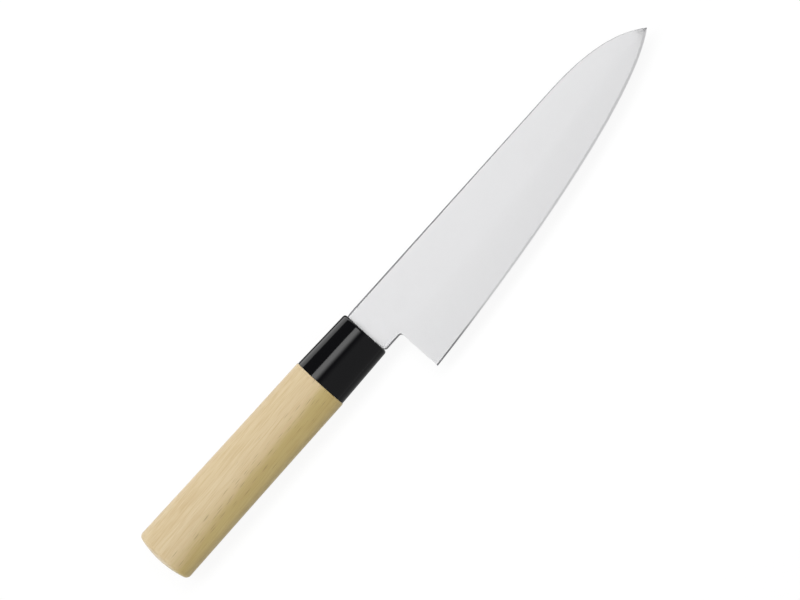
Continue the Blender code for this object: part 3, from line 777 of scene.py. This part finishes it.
spot = add_node(tree, "ShaderNodeSeparateXYZ", None, {0: grain.outputs[0]})
flat_spot = add_node(tree, "ShaderNodeCombineXYZ", None,
                     {"Y": spot.outputs["Y"], "Z": spot.outputs["Z"]})
radius = add_node(tree, "ShaderNodeVectorMath", {"operation": "LENGTH"}, {0: flat_spot.outputs[0]})
bent = add_node(tree, "ShaderNodeMath", {"operation": "MULTIPLY_ADD"},
                {0: wander.outputs["Fac"], 1: 4.0 * MM, 2: radius.outputs["Value"]})
bent = add_node(tree, "ShaderNodeMath", {"operation": "MULTIPLY_ADD"},
                {0: fibres.outputs["Fac"], 1: 11.0 * MM, 2: bent.outputs[0]})
bent = add_node(tree, "ShaderNodeMath", {"operation": "MULTIPLY_ADD"},
                {0: rings.outputs["Fac"], 1: 10.0 * MM, 2: bent.outputs[0]})
heart = add_node(tree, "ShaderNodeMapRange", {"interpolation_type": "SMOOTHSTEP"},
                 {"Value": bent.outputs[0], "From Min": 64.9 * MM, "From Max": 72.3 * MM,
                  "To Min": 1.0, "To Max": 0.0})
colour = add_node(tree, "ShaderNodeMix", {"data_type": "RGBA"},
                  {"Factor": heart.outputs["Result"], "A": SAPWOOD, "B": HEARTWOOD})

soft = add_node(tree, "ShaderNodeMapRange", None,
                {"Value": rings.outputs["Fac"], "From Min": 0.35, "From Max": 0.7, "To Max": 0.25})
colour = add_node(tree, "ShaderNodeMix", {"data_type": "RGBA", "blend_type": "MULTIPLY"},
                  {"Factor": soft.outputs["Result"], "A": colour.outputs["Result"], "B": DARK_STREAK})
fine = add_node(tree, "ShaderNodeMapRange", None,
                {"Value": fibres.outputs["Fac"], "From Min": 0.44, "From Max": 0.7, "To Max": 0.4})
colour = add_node(tree, "ShaderNodeMix", {"data_type": "RGBA", "blend_type": "MULTIPLY"},
                  {"Factor": fine.outputs["Result"], "A": colour.outputs["Result"], "B": DARK_STREAK})

# The pores are open mostly where the heartwood starts.
short = add_node(tree, "ShaderNodeMapping", None,
                 {"Vector": grain.outputs[0], "Scale": (1 / (7.0 * MM), 1 / (0.45 * MM), 1 / (0.45 * MM))})
cells = add_node(tree, "ShaderNodeTexVoronoi", None, {"Vector": short.outputs[0], "Scale": 1.0})
dash = add_node(tree, "ShaderNodeMapRange", {"interpolation_type": "SMOOTHSTEP"},
                {"Value": cells.outputs["Distance"], "From Min": 0.1, "From Max": 0.42,
                 "To Min": 1.0, "To Max": 0.0})
few = add_node(tree, "ShaderNodeSeparateColor", None, {0: cells.outputs["Color"]})
belt_way = add_node(tree, "ShaderNodeMapRange", None,
                    {"Value": bent.outputs[0], "From Min": 63.5 * MM, "From Max": 73.5 * MM})
border = add_node(tree, "ShaderNodeMath", {"operation": "PINGPONG"},
                  {0: belt_way.outputs["Result"], 1: 0.5})
needed = add_node(tree, "ShaderNodeMapRange", None,
                  {"Value": border.outputs[0], "From Max": 0.5, "To Min": 0.98, "To Max": 0.25})
chosen = add_node(tree, "ShaderNodeMath", {"operation": "GREATER_THAN"},
                  {0: few.outputs["Red"], 1: needed.outputs["Result"]})
pores = add_node(tree, "ShaderNodeMath", {"operation": "MULTIPLY"},
                 {0: dash.outputs["Result"], 1: chosen.outputs[0]})
deep = add_node(tree, "ShaderNodeMath", {"operation": "MULTIPLY"}, {0: pores.outputs[0], 1: 0.5})
colour = add_node(tree, "ShaderNodeMix", {"data_type": "RGBA"},
                  {"Factor": deep.outputs[0], "A": colour.outputs["Result"], "B": DARK_PORE})

rough = add_node(tree, "ShaderNodeMapRange", None,
                 {"Value": fibres.outputs["Fac"], "To Min": 0.50, "To Max": 0.66})
dents = add_node(tree, "ShaderNodeMath", {"operation": "SUBTRACT"},
                 {0: fibres.outputs["Fac"], 1: pores.outputs[0]})
relief = add_node(tree, "ShaderNodeBump", None,
                  {"Height": dents.outputs[0], "Strength": 0.25, "Distance": 0.03 * MM})
tree.links.new(colour.outputs["Result"], shader.inputs["Base Color"])
tree.links.new(rough.outputs["Result"], shader.inputs["Roughness"])
tree.links.new(relief.outputs["Normal"], shader.inputs["Normal"])
grip.data.materials.append(magnolia)


# Tang bedding
# The adhesive that fills the slot round the tang, cast in place as it cures. It keeps its
# solid from the frame, because the closed handle hides it.

# Cured epoxy: amber, glossy where it met nothing, and clouded by fine filler.
epoxy = bpy.data.materials.new("cured_epoxy")
epoxy.use_nodes = True
tree = epoxy.node_tree
shader = tree.nodes["Principled BSDF"]
shader.inputs["Roughness"].default_value = 0.35
place = add_node(tree, "ShaderNodeTexCoord")
clouds = add_node(tree, "ShaderNodeTexNoise", None,
                  {"Vector": place.outputs["Object"], "Scale": 1 / (3.0 * MM), "Detail": 3.0})
amber = add_node(tree, "ShaderNodeMix", {"data_type": "RGBA"},
                 {"Factor": clouds.outputs["Fac"], "A": linear("#B99A5B"), "B": linear("#D6BE86")})
tree.links.new(amber.outputs["Result"], shader.inputs["Base Color"])
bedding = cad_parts["tang_bedding"]
for slot in bedding.material_slots:
    slot.material = epoxy
